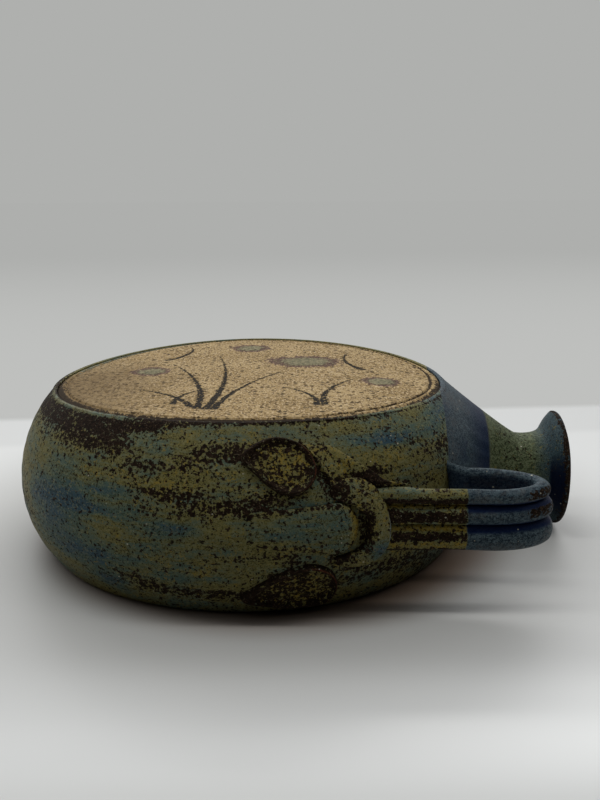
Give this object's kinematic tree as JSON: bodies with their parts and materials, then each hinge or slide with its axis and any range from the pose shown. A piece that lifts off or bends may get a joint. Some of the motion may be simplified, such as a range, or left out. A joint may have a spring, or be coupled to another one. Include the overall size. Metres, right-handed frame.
{
  "type": "pilgrim flask",
  "caption": "Round flat-sided stoneware flask with a short flared neck, one ribbed strap handle with a modelled root, and a bare clay disc set in its front face.",
  "frame": {"origin": "centre of the flat back face that the flask lies on", "axes": "+Z out of the front face, +X along the neck and out of the mouth, the handle on the -Y side"},
  "size_m": [0.2249, 0.1904, 0.066],
  "materials": {
    "body_glaze": "satin",
    "face_clay": "matte",
    "back_clay": "matte",
    "neck_glaze": "satin",
    "handle_glaze": "satin",
    "ornament_glaze": "satin"
  },
  "bodies": {
    "root": {"front_shell": "body_glaze", "back_shell": "body_glaze", "front_panel": "face_clay", "back_panel": "back_clay", "neck": "neck_glaze", "handle": "handle_glaze", "handle_arch": "ornament_glaze", "root_tongue": "ornament_glaze", "upper_leaf": "ornament_glaze", "lower_leaf": "ornament_glaze", "upper_strip": "ornament_glaze"}
  },
  "joints": []
}
